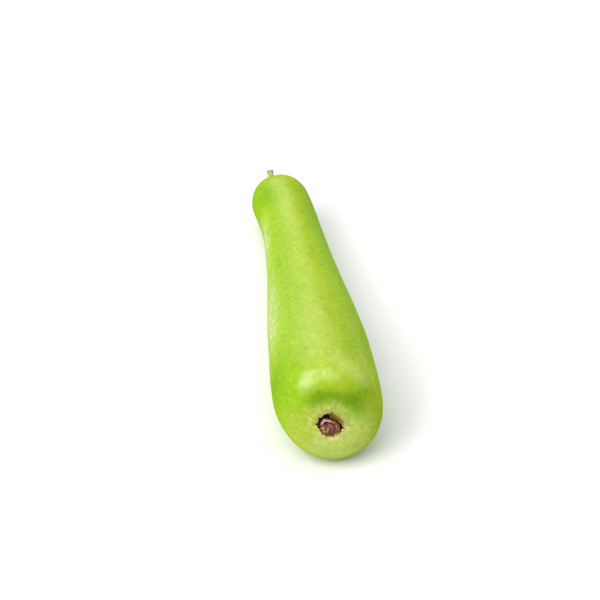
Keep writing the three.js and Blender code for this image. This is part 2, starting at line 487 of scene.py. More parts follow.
class Recipe:
    """Node tree of one material, written as Python."""

    def __init__(self, name: str) -> None:
        """Starts a material whose node tree is empty.

        Args:
            name: Name of the material.
        """
        self.material = bpy.data.materials.new(name)
        self.material.use_nodes = True
        self.tree = self.material.node_tree
        self.tree.nodes.clear()

    def node(
        self,
        kind: str,
        settings: dict | None = None,
        sockets: dict | None = None,
        output: int | str = 0,
    ) -> Wire:
        """Adds a node.

        Args:
            kind: The node's type.
            settings: Its settings, set first.
            sockets: Values or links of its input sockets, by name or place.
            output: Name or place of the output that is returned.

        Returns:
            The output, ready for more arithmetic.
        """
        made = self.tree.nodes.new(kind)
        for name, value in (settings or {}).items():
            setattr(made, name, value)
        for name, value in (sockets or {}).items():
            if isinstance(value, Wire):
                self.tree.links.new(value.socket, made.inputs[name])
            else:
                made.inputs[name].default_value = value
        return Wire(self, made.outputs[output])

    def mark(self, mark: Mark) -> Wire:
        """Value that the mesh carries at its points."""
        return self.node("ShaderNodeAttribute", {"attribute_name": mark.value}, output="Fac")

    def places(self, stretch: Triple = (1.0, 1.0, 1.0), turn: Triple = (0.0, 0.0, 0.0)) -> Wire:
        """The piece's own coordinates in metres.

        Args:
            stretch: What they are multiplied by along each turned axis.
            turn: Turn about each axis, in radians.

        Returns:
            The coordinates.
        """
        own = self.node("ShaderNodeTexCoord", output="Object")
        turned = self.node("ShaderNodeMapping", {"vector_type": "POINT"}, {
            "Vector": own, "Rotation": turn,
        })
        return self.node("ShaderNodeVectorMath", {"operation": "MULTIPLY"}, {0: turned, 1: stretch})

    def noise(self, noise: Noise) -> Wire:
        """A noise's value, from 0 to 1."""
        return self.node("ShaderNodeTexNoise", None, {
            "Vector": self.places(noise.stretch, noise.turn), "Scale": 1 / noise.size,
            "Detail": noise.detail, "Roughness": noise.rough,
        }, "Fac")

    def cells(self, size: float) -> Wire:
        """Distance to the nearest of scattered points, in shares of their spacing."""
        sockets = {"Vector": self.places(), "Scale": 1 / size}
        return self.node("ShaderNodeTexVoronoi", None, sockets, "Distance")

    def mix(self, share: Plug, first: Plug, second: Plug, blend: Blend = Blend.COVER) -> Wire:
        """Colour that goes from one to another.

        Args:
            share: How far it goes, from 0 to 1.
            first: Colour that it starts from.
            second: Colour that covers or tints the first.
            blend: How it does so.

        Returns:
            The colour.
        """
        first, second = ((*c, 1.0) if isinstance(c, tuple) else c for c in (first, second))
        settings = {"data_type": "RGBA", "blend_type": blend.value, "clamp_factor": True}
        return self.node("ShaderNodeMix", settings, {0: share, 6: first, 7: second}, 2)

    def bump(self, height: Wire, depth: float, below: Wire | None = None) -> Wire:
        """Normal of fine relief.

        Args:
            height: Height from 0 to 1.
            depth: What a height of 1 stands for.
            below: Normal that the relief lies on, if it isn't the mesh's own.

        Returns:
            The new normal.
        """
        sockets = {"Height": height, "Distance": depth, "Strength": 1.0}
        if below is not None:
            sockets["Normal"] = below
        return self.node("ShaderNodeBump", None, sockets)

    def shader(self, sockets: dict) -> Wire:
        """Shader with values or links of its sockets."""
        return self.node("ShaderNodeBsdfPrincipled", None, sockets)

    def blend(self, share: Wire, first: Wire, second: Wire) -> Wire:
        """Shader that goes from the first to the second as the share goes from 0 to 1."""
        return self.node("ShaderNodeMixShader", None, {0: share, 1: first, 2: second})

    def finish(self, shader: Wire) -> bpy.types.Material:
        """Closes the tree.

        Args:
            shader: What the surface shows.

        Returns:
            The finished material.
        """
        made = self.tree.nodes.new("ShaderNodeOutputMaterial")
        self.tree.links.new(shader.socket, made.inputs["Surface"])
        return self.material


@dataclass(frozen=True)
class Layer:
    """Tone that lies on the colour below it where values are in their ranges."""

    tone: Color
    start: float
    full: float
    strength: float = 1.0
    within: tuple[Range, ...] = ()
    blend: Blend = Blend.COVER

    def on(self, color: Plug, value: Wire, *others: Wire, share: Plug = 1.0) -> Wire:
        """Colour with the layer on it.

        Args:
            color: Colour below.
            value: Value that the layer follows, from its start to where it is full.
            *others: Values that it also follows, over the ranges that it is within.
            share: Share of the layer that is let through.

        Returns:
            The colour.
        """
        share = value.over(self.start, self.full) * (self.strength * share)
        for other, ends in zip(others, self.within, strict=True):
            share = share * other.over(*ends)
        return value.recipe.mix(share, color, self.tone, self.blend)


@dataclass(frozen=True)
class Spot:
    """Soft patch of the skin with a tone of its own, placed in millimetres."""

    tone: Color
    from_blossom: float
    angle: float
    width: float
    strength: float
    length: float = 0.0
    girth: float = 36.0

    def share(self, away: Wire, sideways: Wire, upwards: Wire) -> Wire:
        """How much of the patch there is at a point.

        Args:
            away: Distance along the skin from the blossom end, in millimetres.
            sideways: Cosine of the angle round the fruit.
            upwards: Sine of the angle round the fruit.

        Returns:
            A share from 0 to the patch's strength.
        """
        ahead = (away - self.from_blossom) / (self.length or self.width)
        across = (sideways - math.cos(self.angle)) * (self.girth / self.width)
        above = (upwards - math.sin(self.angle)) * (self.girth / self.width)
        return self.strength * math.e ** -(ahead * ahead + across * across + above * above)


@dataclass(frozen=True)
class SkinFinish:
    """Waxy green skin: cloudy greens, light freckles, a paler blossom end, and painted light and
    shade.

    Distances are millimetres along the skin, from the blossom end or the pit's rim. Sides are
    sines of the angle round the fruit, from -1 at its underside to 1 at its top.
    """

    DEEP: ClassVar[Color] = (0.19, 0.38, 0.006)
    # Deep green of the band and dark spots near the blossom end, partly painted shade.
    DARK: ClassVar[Color] = (0.105, 0.228, 0.002)
    COOL: ClassVar[Color] = (0.28, 0.5, 0.035)
    PALE: ClassVar[Color] = (0.41, 0.53, 0.024)
    SPECK: ClassVar[Color] = (1.22, 1.14, 2.0)
    # Painted reflection: pale tone of the floor's sheen along the left flank.
    EDGE_REFLECTION: ClassVar[Color] = (0.5, 0.58, 0.23)
    CORK: ClassVar[Color] = (0.42, 0.3, 0.1)
    BROWN: ClassVar[Color] = (0.16, 0.07, 0.02)

    fresh: Color = (0.31, 0.51, 0.012)
    # Painted shade: darker green for the furrows, creases and socket round the stem.
    furrow_shade_tone: Color = (0.08, 0.2, 0.008)
    # Painted shade: olive-brown on the pit's gentle slope.
    umber: Color = (0.21, 0.195, 0.018)
    # Painted shadow: near black where the rim shades the pit's wall and its ragged edge.
    pit_shadow: Color = (0.015, 0.008, 0.003)
    clouds: Noise = Noise(50 * MM, 3.0, 0.5, (1.0, 0.6, 1.0))
    marble: Noise = Noise(10 * MM, 3.0, 0.6, (1.0, 0.6, 1.0))
    mottle: Noise = Noise(3.4 * MM, 3.0, 0.65, (1.0, 0.7, 1.0))
    grain: Noise = Noise(1.2 * MM, 2.0, 0.6)
    rays: Noise = Noise(3.0 * MM, 4.0, 0.7)
    veins: Noise = Noise(6 * MM, 3.0, 0.6)
    wide_waver: float = 14.0
    fine_waver: float = 6.0
    cloudy: Layer = Layer(DEEP, 0.4, 0.66, 0.3)
    # Painted light: the upper side is paler, as the light from above falls on it.
    painted_top_light: Layer = Layer(PALE, 0.68, 1.0, 0.6)
    light_marble: Layer = Layer(PALE, 0.5, 0.7, 0.45)
    dark_marble: Layer = Layer(DEEP, 0.46, 0.28, 0.4)
    face: Layer = Layer((0.374, 0.47, 0.038), 17.0, 4.0, 0.95, ((46.0, 30.0),))
    # Painted shade, partly deeper green: a dark band above the blossom face, where the bulb turns
    # from the top light.
    band_at: float = 24.0
    band_width: float = 8.0
    band_waver: float = 8.0
    band_skew: float = 4.0
    band_side: Range = (0.45, 0.95)
    band_strength: float = 0.8
    ragged_spots: tuple[Spot, ...] = (
        # The first three spots are partly painted shade, where the bulb turns from the top light to
        # the blossom face, and partly deeper green. The fourth is a dark mark of the skin.
        Spot(DARK, 28.0, 0.68, 11.0, 1.0, 9.0, 28.0),
        Spot(DARK, 38.0, 0.66, 10.0, 0.6, 9.0, 30.0),
        Spot(DARK, 23.0, 1.99, 5.0, 0.4, 4.0, 24.0),
        Spot(DARK, 28.0, 5.47, 4.0, 0.35, 3.0, 27.0),
    )
    soft_spots: tuple[Spot, ...] = (
        Spot(DEEP, 56.0, 2.75, 20.0, 1.0, 26.0, 38.0),
        Spot(DEEP, 380.0, 2.8, 26.0, 0.6, 40.0, 27.0),
        Spot(DEEP, 330.0, 0.6, 14.0, 0.4, 60.0, 27.0),
        Spot(DEEP, 220.0, 2.15, 13.0, 0.4, 130.0, 33.0),
        Spot(DEEP, 41.0, 2.0, 9.0, 0.2, 8.0),
        Spot(DEEP, 362.0, 2.2, 12.0, 0.5, 14.0, 27.0),
        Spot(DEEP, 20.5, 0.5, 7.0, 1.0, 6.0, 22.0),
        Spot(COOL, 240.0, 0.75, 16.0, 0.6, 110.0, 31.0),
        Spot(PALE, 44.0, 1.5, 10.0, 0.3),
        Spot(PALE, 58.0, 0.94, 14.0, 0.8),
        Spot(PALE, 40.0, 0.45, 12.0, 0.5),
    )
    # Painted reflection of the pale floor along the left flank, streaked with fine lines.
    reflection_spots: tuple[Spot, ...] = (
        Spot(EDGE_REFLECTION, 162.0, 2.78, 11.0, 1.0, 55.0),
        Spot(EDGE_REFLECTION, 285.0, 2.9, 8.0, 0.85, 45.0, 27.0),
    )
    reflection_lines: Noise = Noise(2.2 * MM, 2.0, 0.5, (1.0, 0.1, 1.0), (-0.5, 0.0, 0.0))
    reflection_range: Range = (0.38, 0.66)
    reflection_plain: float = 0.55
    reflection_lined: float = 0.8
    lighter: Layer = Layer((1.14, 1.08, 1.5), 0.5, 0.66, blend=Blend.TINT)
    darker: Layer = Layer((0.84, 0.9, 0.6), 0.46, 0.32, blend=Blend.TINT)
    freckles: Layer = Layer(SPECK, 0.3, 0.14, 1.0, ((0.48, 0.6), (0.4, 0.65)), Blend.TINT)
    freckle_size: float = 2.9 * MM
    scratches: Layer = Layer(SPECK, 0.0005, 0.0, 1.0, ((0.5, 0.62),), Blend.TINT)
    halo_reach: Range = (15.0, 0.0)
    straw: Layer = Layer((0.6, 0.58, 0.17), 0.38, 0.6, 0.7)
    olive: Layer = Layer((0.3, 0.36, 0.025), 0.5, 0.36, 0.75)
    flecks: Layer = Layer(CORK, 0.42, 0.2, 0.8, ((8.0, 0.5), (0.46, 0.56)))
    fleck_size: float = 1.9 * MM
    crumbs: Layer = Layer(
        (0.9, 0.8, 0.45), 0.5, 0.3, 0.9, ((5.5, 1.0), (0.35, -0.15), (0.42, 0.52))
    )
    crumb_size: float = 1.4 * MM
    ray_waver: float = 7.0
    # Darker olive-brown just outside the rim, towards its upper side.
    upper_rim_darkening: Layer = Layer((0.26, 0.25, 0.045), 5.5, 1.0, 0.6, ((-0.3, 0.5),))
    corky: Layer = Layer(CORK, 2.0, 0.4, 0.7)
    edge_reach: Range = (0.7, -0.2)
    # On the lower side of the ragged edge, brown takes the place of the painted shadow.
    lower_edge: Layer = Layer(BROWN, -0.55, -0.8)
    # Painted shade on the pit's gentle slope, turning brown deeper down.
    slope_reach: Range = (2.4, -1.0)
    slope_strength: float = 0.9
    slope_foot: Layer = Layer(BROWN, -2.0, -4.0)
    reliefs: tuple[float, ...] = (0.5 * MM, 0.12 * MM, 0.05 * MM, 0.02 * MM, 0.35 * MM)
    roughness: float = 0.25
    mottle_roughness: float = 0.08
    halo_roughness: float = 0.2
    wax_reach: Range = (0.0, 1.5)
    facing_range: Range = (0.38, 0.78)
    facing_loss: float = 0.92

    def ground(self, r: Recipe, clouds: Wire, marble: Wire) -> Wire:
        """Colour of the skin without its fine marks.

        Args:
            r: Material that it goes into.
            clouds: Wide unevenness.
            marble: Finer unevenness.

        Returns:
            The colour.
        """
        sideways, upwards = r.mark(Mark.SIDEWAYS), r.mark(Mark.UPWARDS)
        away = r.mark(Mark.FROM_BLOSSOM) / MM + (clouds - 0.5) * self.wide_waver
        uneven = marble - 0.5
        waver = uneven * self.fine_waver
        color = self.cloudy.on(self.fresh, clouds)
        # Painted light on the upper side.
        color = self.painted_top_light.on(color, upwards)
        color = self.light_marble.on(color, marble)
        color = self.dark_marble.on(color, marble)
        color = self.face.on(color, away * upwards + waver, away)
        # Painted shade, partly deeper green: the dark band where the bulb turns from the top light
        # to the blossom face.
        middle = self.band_at + self.band_skew * sideways
        ahead = (away + uneven * self.band_waver - middle) / self.band_width
        band = math.e ** -(ahead * ahead) * upwards.over(*self.band_side)
        color = r.mix(band * self.band_strength, color, self.DARK)
        for spots, place in ((self.ragged_spots, away + waver), (self.soft_spots, away)):
            for spot in spots:
                color = r.mix(spot.share(place, sideways, upwards), color, spot.tone)
        # Painted reflection along the left flank, with fine lines in it.
        lines = r.noise(self.reflection_lines).over(*self.reflection_range)
        for spot in self.reflection_spots:
            lined = self.reflection_plain + self.reflection_lined * lines
            color = r.mix(spot.share(away, sideways, upwards) * lined, color, spot.tone)
        return color

    def scarred(self, r: Recipe, color: Wire, rays: Wire, mottle: Wire, grain: Wire) -> Wire:
        """Colour with the marks round the flower's remains, and painted shadow and shade in and
        round the pit.

        Args:
            r: Material that it goes into.
            color: Colour of the skin.
            rays: Ragged noise.
            mottle: Fine noise.
            grain: Finest noise.

        Returns:
            The colour.
        """
        from_rim = r.mark(Mark.FROM_RIM) / MM
        upwards, slope = r.mark(Mark.UPWARDS), r.mark(Mark.SLOPE)
        halo = from_rim.over(*self.halo_reach)
        color = self.straw.on(color, rays, share=halo)
        color = self.olive.on(color, mottle, share=halo)
        color = self.flecks.on(color, r.cells(self.fleck_size), from_rim, rays)
        color = self.crumbs.on(color, r.cells(self.crumb_size), from_rim, upwards, grain)
        ragged = from_rim + (rays - 0.5) * self.ray_waver
        color = self.upper_rim_darkening.on(color, ragged, upwards)
        color = self.corky.on(color, ragged)
        # Painted shadow on the pit's wall and ragged edge, brown at its lower side, except on the
        # gentle slope.
        edge = self.lower_edge.on(self.pit_shadow, upwards)
        color = r.mix(ragged.over(*self.edge_reach) * (1.0 - slope), color, edge)
        # Painted olive-brown shade on the gentle slope into the pit.
        share = slope * from_rim.over(*self.slope_reach) * self.slope_strength
        return r.mix(share, color, self.slope_foot.on(self.umber, from_rim))

    def material(self) -> bpy.types.Material:
        """Makes the skin's material."""
        r = Recipe("gourd_skin")
        noises = (self.clouds, self.marble, self.mottle, self.grain, self.rays)
        clouds, marble, mottle, grain, rays = (r.noise(noise) for noise in noises)
        color = self.ground(r, clouds, marble)
        color = self.lighter.on(color, mottle)
        color = self.darker.on(color, mottle)
        color = self.freckles.on(color, r.cells(self.freckle_size), grain, marble)
        veins = r.noise(self.veins) - 0.5
        color = self.scratches.on(color, veins * veins, mottle)
        color = self.scarred(r, color, rays, mottle, grain)
        # Painted shade: darker green in the furrows, creases and socket round the stem.
        color = r.mix(r.mark(Mark.HOLLOW_SHADE), color, self.furrow_shade_tone)
        from_rim = r.mark(Mark.FROM_RIM) / MM
        halo = from_rim.over(*self.halo_reach)
        normal = None
        for height, depth in zip((clouds, marble, mottle, grain, halo * rays), self.reliefs):
            normal = r.bump(height, depth, normal)
        body = {
            "Base Color": color,
            "Normal": normal,
            "Subsurface Weight": 0.06,
            "Subsurface Radius": (0.6, 1.0, 0.15),
            "Subsurface Scale": 2 * MM,
        }
        rough = self.roughness + self.mottle_roughness * mottle + self.halo_roughness * halo
        waxy = r.shader(body | {"Roughness": rough, "Specular IOR Level": 0.65})
        matt = r.shader(body | {"Roughness": 0.8, "Specular IOR Level": 0.0})
        facing = r.node("ShaderNodeLayerWeight", None, {"Blend": 0.5}, "Facing")
        loss = self.facing_loss * facing.over(*self.facing_range)
        sheen = r.mark(Mark.SHEEN) * (1.0 - loss) * from_rim.over(*self.wax_reach)
        return r.finish(r.blend(sheen, matt, waxy))


@dataclass(frozen=True)
class StemFinish:
    """Dry-edged green stalk with long fibres, and a brown cut end with a pale middle."""

    DARK: ClassVar[Color] = (0.12, 0.16, 0.03)
    BROWN: ClassVar[Color] = (0.2, 0.14, 0.07)

    green: Color = (0.33, 0.42, 0.09)
    light: Color = (0.55, 0.62, 0.26)
    fibres: Noise = Noise(1.1 * MM, 4.0, 0.6, (1.0, 0.12, 0.5))
    blotches: Noise = Noise(4 * MM, 3.0, 0.6)
    between_fibres: Layer = Layer(DARK, 0.55, 0.35, 0.5)
    dry_tip: Layer = Layer(BROWN, 0.85, 1.0, 1.0, ((0.35, 0.6),))
    # Painted shade: darker at the foot, where the stem sinks into its socket.
    foot: Layer = Layer(DARK, 0.2, 0.0, 0.6)
    pith: Layer = Layer((0.5, 0.5, 0.28), 0.55, 0.9)
    cut_edge: Range = (0.0, 0.15)
    roughness: Range = (0.55, 0.75)
    fibre_relief: float = 0.25 * MM
    blotch_relief: float = 0.2 * MM

    def material(self) -> bpy.types.Material:
        """Makes the stem's material."""
        r = Recipe("gourd_stem")
        along, cut = r.mark(Mark.ALONG), r.mark(Mark.CUT)
        fibres, blotches = r.noise(self.fibres), r.noise(self.blotches)
        color = r.mix(r.mark(Mark.RIB), self.green, self.light)
        color = self.between_fibres.on(color, fibres)
        color = self.dry_tip.on(color, along, blotches)
        # Painted shade at the stem's foot.
        color = self.foot.on(color, along)
        color = r.mix(cut.over(*self.cut_edge), color, self.pith.on(self.BROWN, cut))
        smooth, rough = self.roughness
        normal = r.bump(fibres, self.fibre_relief)
        return r.finish(r.shader({
            "Base Color": color,
            "Roughness": smooth + (rough - smooth) * blotches,
            "Normal": r.bump(blotches, self.blotch_relief, normal),
            "Subsurface Weight": 0.05,
            "Subsurface Scale": 2 * MM,
        }))


@dataclass(frozen=True)
class CorkFinish:
    """Dried flower remains: streaked red-brown flesh, a pale lip, tan beads and painted shade in
    hollows.
    """

    shade: Color = (0.11, 0.024, 0.014)
    # Dark red-brown of the groove under the lip, partly painted shade.
    maroon: Color = (0.11, 0.012, 0.006)
    tan: Color = (0.3, 0.14, 0.05)
    streaks: Noise = Noise(1.6 * MM, 3.0, 0.6, (1.0, 0.3, 0.22))
    crumbs: Noise = Noise(1.1 * MM, 4.0, 0.65)
    flesh: Layer = Layer((0.38, 0.14, 0.09), 0.45, 0.56)
    beads: Layer = Layer((0.95, 0.72, 0.4), 0.48, 0.3)
    bead_size: float = 1.5 * MM
    rust: Layer = Layer((0.42, 0.2, 0.06), 0.4, 0.55, 0.7)
    bark: Layer = Layer((0.16, 0.085, 0.015), 0.72, 0.52)
    lip: Layer = Layer((0.7, 0.46, 0.35), 0.3, 0.5)
    # Painted shade: near black in the cork's low parts, between the pit's rim and the lip.
    painted_hollow_shade: Layer = Layer((0.012, 0.007, 0.004), 0.55, 0.2)
    roughness: Range = (0.75, 0.95)
    streak_relief: float = 0.3 * MM
    crumb_relief: float = 0.25 * MM

    def material(self) -> bpy.types.Material:
        """Makes the cork's material."""
        r = Recipe("gourd_cork")
        streaks, crumbs = r.noise(self.streaks), r.noise(self.crumbs)
        color = self.flesh.on(self.shade, streaks)
        tan = self.beads.on(self.tan, r.cells(self.bead_size))
        color = r.mix(r.mark(Mark.BEADS), color, tan)
        color = self.rust.on(color, crumbs, share=r.mark(Mark.TEETH))
        color = self.bark.on(color, crumbs, share=r.mark(Mark.FRINGE))
        color = self.lip.on(color, crumbs, share=r.mark(Mark.LIP))
        # Painted shade in the cork's low parts.
        color = self.painted_hollow_shade.on(color, r.mark(Mark.HEIGHT))
        # Dark red-brown in the groove under the lip, partly painted shade.
        color = r.mix(r.mark(Mark.GROOVE), color, self.maroon)
        smooth, rough = self.roughness
        normal = r.bump(streaks, self.streak_relief)
        return r.finish(r.shader({
            "Base Color": color,
            "Roughness": smooth + (rough - smooth) * crumbs,
            "Specular IOR Level": 0.25,
            "Normal": r.bump(crumbs, self.crumb_relief, normal),
        }))


@dataclass(frozen=True)
class FloorFinish:
    """Plain matt white floor with a faint unevenness."""

    white: Color = (0.9, 0.9, 0.9)
    shade: Color = (0.87, 0.87, 0.87)
    clouds: Noise = Noise(400 * MM, 2.0)

    def material(self) -> bpy.types.Material:
        """Makes the floor's material."""
        r = Recipe("pale_floor")
        color = r.mix(r.noise(self.clouds), self.white, self.shade)
        return r.finish(r.shader({"Base Color": color, "Roughness": 0.8}))


def skin_over(
    name: str, start: Array, rings: Array, end: Array, marks: dict[Mark, Array]
) -> bpy.types.Object:
    """Closed smooth mesh object over rings of points.

    Args:
        name: Name of the object.
        start: Point that closes the first ring.
        rings: Points, as ring, place in the ring, and x, y, z.
        end: Point that closes the last ring.
        marks: Values for the finish, as ring and place, with rows for both closing points too.

    Returns:
        The object, linked into the scene.
    """
    count, sides, _ = rings.shape
    points = np.concatenate([start[None], rings.reshape(-1, 3), end[None]])
    last = len(points) - 1
    here = 1 + np.arange(count)[:, None] * sides + np.arange(sides)
    ahead = np.roll(here, -1, axis=1)
    quads = np.stack([here[:-1], here[1:], ahead[1:], ahead[:-1]], axis=-1).reshape(-1, 4)
    first = [(0, a, b) for a, b in zip(here[0].tolist(), ahead[0].tolist())]
    final = [(last, b, a) for a, b in zip(here[-1].tolist(), ahead[-1].tolist())]
    mesh = bpy.data.meshes.new(name)
    mesh.from_pydata(points.tolist(), [], first + quads.tolist() + final)
    mesh.polygons.foreach_set("use_smooth", [True] * len(mesh.polygons))
    for mark, values in marks.items():
        inner = values[1:-1].reshape(-1)
        flat = np.concatenate([[values[0, 0]], inner, [values[-1, 0]]]).astype(np.float32)
        mesh.attributes.new(mark.value, "FLOAT", "POINT").data.foreach_set("value", flat)
    mesh.validate()
    piece = bpy.data.objects.new(name, mesh)
    bpy.context.scene.collection.objects.link(piece)
    return piece


def dress(piece: bpy.types.Object, material: bpy.types.Material, node: str) -> None:
    """Gives a piece its finish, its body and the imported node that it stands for."""
    piece.data.materials.append(material)
    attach(piece, Body.ROOT.value)
    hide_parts(node)
    log.info("%s: %d faces on %s", piece.name, len(piece.data.polygons), Body.ROOT.value)


@dataclass(frozen=True)
class Gloss:
    """Gloss of the skin: its left flank, and a patch and a band near the blossom end are duller.

    Left and right sides are cosines of the angle round the fruit, and the band's are sines.
    """

    dullness: float = 0.85
    left_side: Range = (-0.5, -0.9)
    right: Ring = Ring(40 * MM, 16 * MM)
    right_side: Range = (0.6, 0.9)
    band: Ring = Ring(24 * MM, 9 * MM)
    band_side: Range = (0.0, 0.7)

    def share(self, away: Array, angle: Array) -> Array:
        """Shares of the full gloss.

        Args:
            away: Distances, along the skin, from the blossom end.
            angle: Angles round the fruit.

        Returns:
            Shares from 0 to 1.
        """
        left = rise(np.cos(angle), *self.left_side)
        right = self.right.share(away) * rise(np.cos(angle), *self.right_side)
        band = self.band.share(away) * rise(np.sin(angle), *self.band_side)
        return 1 - self.dullness * np.maximum(np.maximum(left, right), band)


@dataclass
class Fruit:
    """The whole fruit, with the pit at its blossom end and the dimple at its stem."""

    form: GourdForm
    pit: Pit = Pit()
    dimple: Dimple = Dimple()
    rings: int = 330
    sides: int = 256
    crowding: float = 0.8
    swell_height: float = 0.22 * MM
    swell_length: float = 70 * MM
    dent_height: float = 0.05 * MM
    dent_length: float = 16 * MM
    dent_waves: int = 30
    collar: Range = (11 * MM, 7 * MM)
    furrow_shade: float = 0.75
    crease_full: float = 0.8 * MM
    darkest: float = 0.9
    gloss: Gloss = Gloss()
    profile_steps: int = 40001

    def profile(self) -> tuple[Array, Array, Array]:
        """Half outline of the round form.

        Returns:
            Stations, radii and distances along the outline, from the blossom end.
        """
        u = np.linspace(0, 1, self.profile_steps)
        share = 2 * np.minimum(u, 1 - u)
        half = self.form.length / 2
        station = np.where(
            u < 0.5,
            half * share**self.form.blossom_cap.squareness,
            self.form.length - half * share**self.form.stem_cap.squareness,
        )
        radius = self.form.radius(station)
        steps = np.hypot(np.diff(station), np.diff(radius))
        return station, radius, np.concatenate([[0.0], np.cumsum(steps)])

    def build(self, shift: Array) -> bpy.types.Object:
        """Builds the fruit.

        Args:
            shift: Step from the fruit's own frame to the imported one.

        Returns:
            The fruit's object.
        """
        station, radius, gone = self.profile()
        even = np.linspace(0, 1, self.rings + 1)
        gone_at = gone[-1] * (even - self.crowding * np.sin(TURN * even) / TURN)
        along, angle = np.meshgrid(gone_at, turns(self.sides), indexing="ij")
        at = np.interp(along, gone, station)
        out = np.interp(along, gone, radius)
        lean = np.gradient(radius, gone), np.gradient(station, gone)
        lean_r, lean_s = (np.interp(along, gone, values) for values in lean)
        from_stem = gone[-1] - along
        sink = self.pit.sink(along, angle) + self.dimple.sink(from_stem, angle)
        rng = np.random.default_rng(SEED)
        smooth = self.form.place(at, out, angle)
        sink = sink - self.swell_height * Ripple(rng, self.swell_length).at(smooth)
        sink = sink - self.dent_height * Ripple(rng, self.dent_length, self.dent_waves).at(smooth)
        points = self.form.place(at + sink * lean_r, np.maximum(out - sink * lean_s, 0), angle)
        points = points + shift
        for end in (0, -1):
            points[end] = points[end].mean(axis=0)
        # Where shade is painted: the furrows, the socket's collar and the creases round the stem.
        furrow = self.dimple.furrows(from_stem, angle) + rise(from_stem, *self.collar)
        creases = sum(crease.sink(from_stem, angle) for crease in self.dimple.creases)
        hollow = self.furrow_shade * furrow + creases / self.crease_full
        marks = {
            Mark.FROM_BLOSSOM: along,
            Mark.FROM_RIM: self.pit.from_rim(along, angle),
            Mark.SLOPE: self.pit.slope.share(angle),
            Mark.SHEEN: self.gloss.share(along, angle),
            Mark.SIDEWAYS: np.cos(angle),
            Mark.UPWARDS: np.sin(angle),
            Mark.HOLLOW_SHADE: np.clip(hollow, 0, self.darkest),
        }
        piece = skin_over("gourd_fruit", points[0, 0], points[1:-1], points[-1, 0], marks)
        dress(piece, SkinFinish().material(), "fruit")
        return piece


@dataclass
class Stem:
    """Short ribbed stub that leaves along the neck and turns up to its cut end."""

    form: GourdForm
    dimple: Dimple = Dimple()
    foot_radius: float = 5.8 * MM
    tip_radius: float = 3.1 * MM
    flare_length: float = 5.5 * MM
    rib_height: float = 0.075
    tip: Triple = (-2.7 * MM, 19.2 * MM, 11.7 * MM)
    reach: Pair = (11 * MM, 10 * MM)
    tip_pitch: float = 57.0
    gap: float = 0.3 * MM
    cut_hollow: float = 0.5 * MM
    rings: int = 90
    sides: int = 110
    cut_rings: int = 14
    curve_steps: int = 2001
    fibre_height: float = 0.05 * MM
    fibre_counts: tuple[int, int] = (23, 37)
    fibre_turn: float = 1.0
    fibre_waver: float = 2.0
    finer_fibres: float = 0.7
    smooth_foot: float = 1 / 6
    cut_edge: float = 0.15

    def curve(self) -> tuple[Array, Array]:
        """Middle line of the stem.

        Returns:
            Its points and headings, evenly spaced.
        """
        end = np.array([self.form.length])
        side = self.form.side(end)[0]
        outwards = np.cross((0, 0, 1), side)
        sunk = self.dimple.socket_depth + self.dimple.depth - self.gap
        foot = self.form.axis(end - sunk)[0]
        tip = self.form.axis(end)[0] + np.array(self.tip)
        pitch = math.radians(self.tip_pitch)
        heading = np.array([0, math.cos(pitch), math.sin(pitch)])
        bezier = np.array([
            foot, foot + outwards * self.reach[0], tip - heading * self.reach[1], tip,
        ])
        t = np.linspace(0, 1, self.curve_steps)[:, None]
        path = ((1 - t) ** 3 * bezier[0] + 3 * t * (1 - t) ** 2 * bezier[1]
                + 3 * t * t * (1 - t) * bezier[2] + t**3 * bezier[3])
        gone = np.concatenate([[0], np.cumsum(np.linalg.norm(np.diff(path, axis=0), axis=1))])
        even = np.linspace(0, gone[-1], self.rings)
        line = np.stack([np.interp(even, gone, path[:, axis]) for axis in range(3)], axis=-1)
        ahead = np.gradient(line, axis=0)
        return line, ahead / np.linalg.norm(ahead, axis=1, keepdims=True)

    def build(self, shift: Array) -> bpy.types.Object:
        """Builds the stem.

        Args:
            shift: Step from the fruit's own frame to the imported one.

        Returns:
            The stem's object.
        """
        line, heading = self.curve()
        side = self.form.side(np.array([self.form.length]))[0]
        below = np.cross(side, heading)
        below /= np.linalg.norm(below, axis=1, keepdims=True)
        gone = np.linspace(0, 1, self.rings)
        length = np.linalg.norm(np.diff(line, axis=0), axis=1).sum()
        flare = np.exp(-gone * length / self.flare_length)
        radius = self.tip_radius + (self.foot_radius - self.tip_radius) * flare
        angle = turns(self.sides)
        rib = np.cos(self.dimple.rib_count * angle + self.dimple.rib_turn)
        ribbed = radius[:, None] * (1 + self.rib_height * rib)
        wide, fine = (count * angle for count in self.fibre_counts)
        fine = fine + self.fibre_waver * np.sin(angle)
        fibres = np.cos(wide + self.fibre_turn) + self.finer_fibres * np.cos(fine)
        ribbed = ribbed + self.fibre_height * fibres * ease(gone / self.smooth_foot)[:, None]
        around = np.cos(angle)[:, None] * side + np.sin(angle)[:, None] * below[:, None]
        wall = line[:, None] + ribbed[..., None] * around
        shrink = np.linspace(1, 0, self.cut_rings + 1)[1:-1]
        hollow = self.cut_hollow * (1 - shrink**2)
        cut = (line[-1] - hollow[:, None] * heading[-1])[:, None]
        cut = cut + (shrink[:, None] * ribbed[-1])[..., None] * around[-1]
        points = np.concatenate([wall, cut]) + shift
        along = np.concatenate([gone, np.ones(len(shrink))])
        inward = np.concatenate([np.zeros(self.rings), 1 - (1 - self.cut_edge) * shrink])
        spread = np.ones((len(points) + 2, self.sides))
        marks = {
            Mark.ALONG: np.pad(along, 1, "edge")[:, None] * spread,
            Mark.CUT: np.pad(inward, 1, "edge")[:, None] * spread,
            Mark.RIB: (0.5 + 0.5 * rib) * spread,
        }
        end = line[-1] - self.cut_hollow * heading[-1] + shift
        piece = skin_over("gourd_stem", line[0] + shift, points, end, marks)
        dress(piece, StemFinish().material(), "stem")
        return piece


